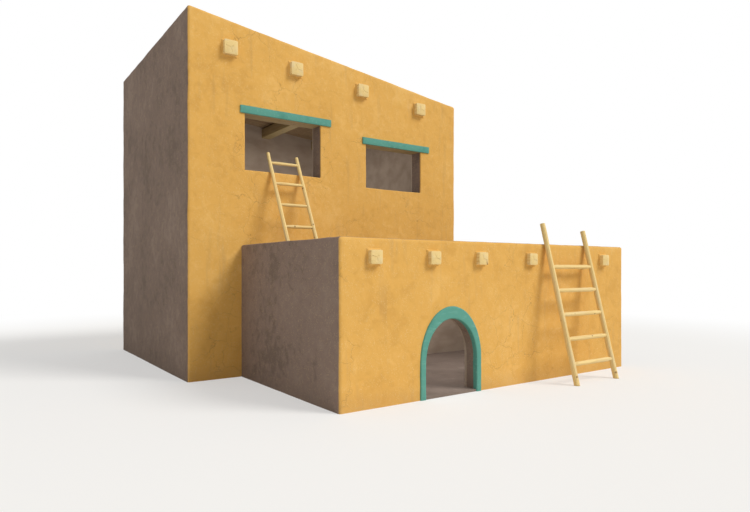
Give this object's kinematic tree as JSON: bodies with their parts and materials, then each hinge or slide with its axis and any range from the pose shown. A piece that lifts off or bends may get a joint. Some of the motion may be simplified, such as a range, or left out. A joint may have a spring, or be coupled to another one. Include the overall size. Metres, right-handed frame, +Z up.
{
  "type": "two-block earthen house",
  "caption": "Flat-roofed mud-brick house of a tall and a low block, with an arched doorway, windows under painted lintels, showing beam ends and pole ladders.",
  "frame": {"origin": "centre of the footprint's bounding box, at ground level", "axes": "+X along the front to the right, +Y from the front to the back, +Z up"},
  "size_m": [11.17, 13.3865, 9.4921],
  "materials": {
    "ochre_clay_wash": "matte",
    "brown_mud_plaster": "matte",
    "packed_earth": "matte",
    "peeled_pine": "matte",
    "turquoise_milk_paint": "matte"
  },
  "bodies": {
    "root": {"tall_front_wall": "ochre_clay_wash", "tall_back_wall": "ochre_clay_wash", "tall_left_wall": "brown_mud_plaster", "tall_right_wall": "brown_mud_plaster", "low_front_wall": "ochre_clay_wash", "low_left_wall": "brown_mud_plaster", "low_right_wall": "brown_mud_plaster", "low_back_wall": "ochre_clay_wash", "front_left_window_lintel": "turquoise_milk_paint", "front_right_window_lintel": "turquoise_milk_paint", "back_left_window_lintel": "turquoise_milk_paint", "back_right_window_lintel": "turquoise_milk_paint", "tall_roof_beam_1": "peeled_pine", "tall_roof_beam_2": "peeled_pine", "tall_roof_beam_3": "peeled_pine", "tall_roof_beam_4": "peeled_pine", "low_roof_beam_1": "peeled_pine", "low_roof_beam_2": "peeled_pine", "low_roof_beam_3": "peeled_pine", "low_roof_beam_4": "peeled_pine", "low_roof_beam_5": "peeled_pine", "upper_floor_beams": "peeled_pine", "tall_roof_poles": "peeled_pine", "tall_roof_earth": "packed_earth", "upper_floor_poles": "peeled_pine", "upper_floor_earth": "packed_earth", "low_roof_poles": "peeled_pine", "low_roof_earth": "packed_earth", "low_floor": "packed_earth", "door_surround": "turquoise_milk_paint", "front_ladder_left_rail": "peeled_pine", "front_ladder_right_rail": "peeled_pine", "front_ladder_rungs": "peeled_pine", "roof_ladder_left_rail": "peeled_pine", "roof_ladder_right_rail": "peeled_pine", "roof_ladder_rungs": "peeled_pine"}
  },
  "joints": []
}
